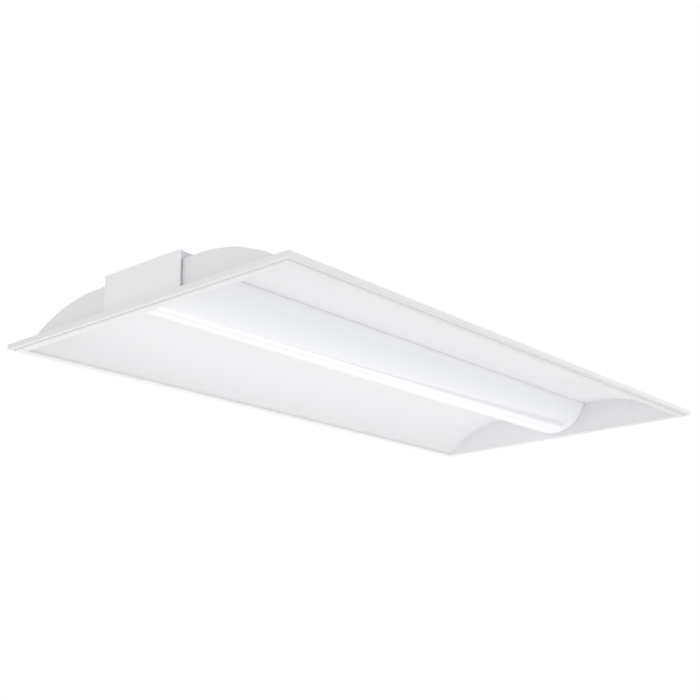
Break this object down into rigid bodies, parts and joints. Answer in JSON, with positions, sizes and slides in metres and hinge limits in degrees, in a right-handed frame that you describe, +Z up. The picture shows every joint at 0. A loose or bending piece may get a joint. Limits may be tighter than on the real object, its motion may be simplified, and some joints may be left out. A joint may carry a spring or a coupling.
{
  "type": "recessed troffer light",
  "caption": "White lay-in LED troffer with arched side reflectors, a swing-down round opal lens, a driver channel on its back and swing-out grid clips.",
  "frame": {"origin": "centre of the underside, in the plane of the flange's inner band", "axes": "+X along the length, towards the far end; +Y across, towards the left side seen from the near end; +Z up, into the ceiling"},
  "size_m": [1.2128, 0.6032, 0.0786],
  "materials": {
    "white_steel": "white powder coat, semi-matt, very fine orange peel",
    "reflective_white": "high-reflectance matt white paint",
    "galvanised_steel": "galvanised sheet, faint spangle, cool grey",
    "zinc_hardware": "bright zinc plate",
    "spring_steel": "plated spring steel",
    "opal_acrylic": "smooth glossy opal acrylic, faintly cool",
    "board_white": "white solder resist",
    "chip_phosphor": "yellow phosphor under clear resin",
    "connector_white": "natural white nylon",
    "connector_orange": "clear orange push-in connector",
    "driver_can": "white coated steel can",
    "lead_black": "black lead insulation",
    "lead_white": "white lead insulation",
    "lead_green": "green lead insulation",
    "lead_red": "red lead insulation",
    "ground_green": "green passivated ground screw",
    "bushing_black": "black nylon"
  },
  "bodies": {
    "housing": {"side_panel_left": "white_steel", "side_panel_right": "white_steel", "end_plate_far": "white_steel", "end_plate_near": "white_steel", "driver_channel": "galvanised_steel", "end_bracket_far": "galvanised_steel", "end_bracket_near": "galvanised_steel", "end_cover_far": "white_steel", "end_cover_near": "white_steel", "channel_screws": "zinc_hardware", "lens_catches": "spring_steel", "led_tray": "reflective_white", "tray_wing_left": "reflective_white", "tray_wing_right": "reflective_white", "tray_rivets": "zinc_hardware", "led_board_left_far": "board_white", "led_board_left_near": "board_white", "led_board_right_far": "board_white", "led_board_right_near": "board_white", "led_chips_left": "chip_phosphor", "led_chips_right": "chip_phosphor", "board_connectors": "connector_white", "driver": "driver_can", "driver_terminals": "connector_white", "driver_screws": "zinc_hardware", "line_lead": "lead_black", "neutral_lead": "lead_white", "ground_lead": "lead_green", "wire_connectors": "connector_orange", "ground_screw": "ground_green", "ground_pigtail": "lead_green", "lamp_leads_red": "lead_red", "lamp_leads_black": "lead_black", "lead_bushings": "bushing_black", "cover_hinge_leaf": "galvanised_steel", "cover_hinge_pin": "zinc_hardware", "conduit_plug": "zinc_hardware", "clip_brackets": "galvanised_steel", "clip_pivots": "zinc_hardware"},
    "lens_assembly": {"lens": "opal_acrylic", "lens_end_cap_far": "opal_acrylic", "lens_end_cap_near": "opal_acrylic", "lens_pivot_pins": "zinc_hardware", "lens_catch_studs": "zinc_hardware"},
    "wiring_cover": {"access_cover": "galvanised_steel", "cover_screw": "zinc_hardware"},
    "clip_far_left": {"grid_clip_far_left": "spring_steel"},
    "clip_far_right": {"grid_clip_far_right": "spring_steel"},
    "clip_near_left": {"grid_clip_near_left": "spring_steel"},
    "clip_near_right": {"grid_clip_near_right": "spring_steel"}
  },
  "joints": [
    {"name": "lens_hinge", "type": "hinge", "parent": "housing", "child": "lens_assembly", "pos_m": [0, 0.07, 0.0591], "axis": [1, 0, 0], "range_deg": [0, 90]},
    {"name": "cover_hinge", "type": "hinge", "parent": "housing", "child": "wiring_cover", "pos_m": [-0.3464, 0, 0.0764], "axis": [0, -1, 0], "range_deg": [0, 110]},
    {"name": "clip_far_left_swing", "type": "hinge", "parent": "housing", "child": "clip_far_left", "pos_m": [0.4354, 0.23982, 0.0416], "axis": [0, 0, -1], "range_deg": [0, 90]},
    {"name": "clip_far_right_swing", "type": "hinge", "parent": "housing", "child": "clip_far_right", "pos_m": [0.4354, -0.23982, 0.0416], "axis": [0, 0, 1], "range_deg": [0, 90]},
    {"name": "clip_near_left_swing", "type": "hinge", "parent": "housing", "child": "clip_near_left", "pos_m": [-0.4354, 0.23982, 0.0416], "axis": [0, 0, 1], "range_deg": [0, 90]},
    {"name": "clip_near_right_swing", "type": "hinge", "parent": "housing", "child": "clip_near_right", "pos_m": [-0.4354, -0.23982, 0.0416], "axis": [0, 0, -1], "range_deg": [0, 90]}
  ]
}
